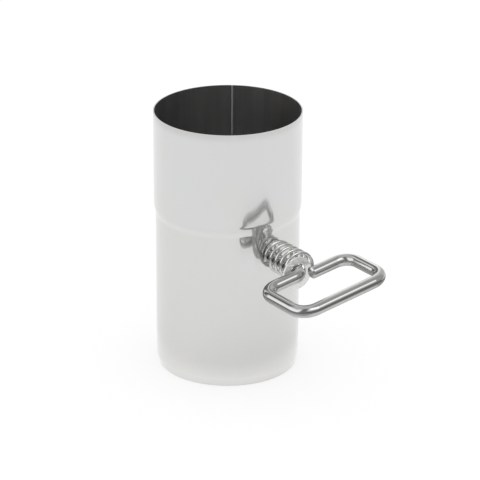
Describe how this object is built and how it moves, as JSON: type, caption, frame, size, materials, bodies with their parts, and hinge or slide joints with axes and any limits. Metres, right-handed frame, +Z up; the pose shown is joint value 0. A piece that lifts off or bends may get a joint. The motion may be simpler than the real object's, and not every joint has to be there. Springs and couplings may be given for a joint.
{
  "type": "stovepipe damper",
  "caption": "Stovepipe damper: a short socketed flue section with a turning plate inside, turned by a spring-loaded bent-rod loop handle.",
  "frame": {"origin": "centre of the pipe's bottom rim, on the pipe's axis", "axes": "+Z up the pipe towards the socket; the spindle leaves the pipe towards -Y"},
  "size_m": [0.0778, 0.1462, 0.141],
  "materials": {
    "pipe_steel": "satin polished stainless sheet",
    "spring_steel": "bright drawn wire",
    "washer_steel": "bright",
    "rod_steel": "polished rod",
    "stop_washer_steel": "bright",
    "plate_steel": "mill finish sheet",
    "saddle_steel": "pressed sheet",
    "rivet_steel": "plain"
  },
  "bodies": {
    "pipe": {"pipe": "pipe_steel", "spring": "spring_steel", "handle_washer": "washer_steel"},
    "spindle": {"spindle_handle": "rod_steel", "stop_washer": "stop_washer_steel", "damper_plate": "plate_steel", "saddle_front": "saddle_steel", "saddle_rear": "saddle_steel", "saddle_rivets": "rivet_steel", "key_rivet": "rivet_steel"}
  },
  "joints": [
    {"name": "spindle_turn", "type": "hinge", "parent": "pipe", "child": "spindle", "pos_m": [0, 0, 0.0717], "axis": [0, -1, 0], "continuous": true}
  ]
}
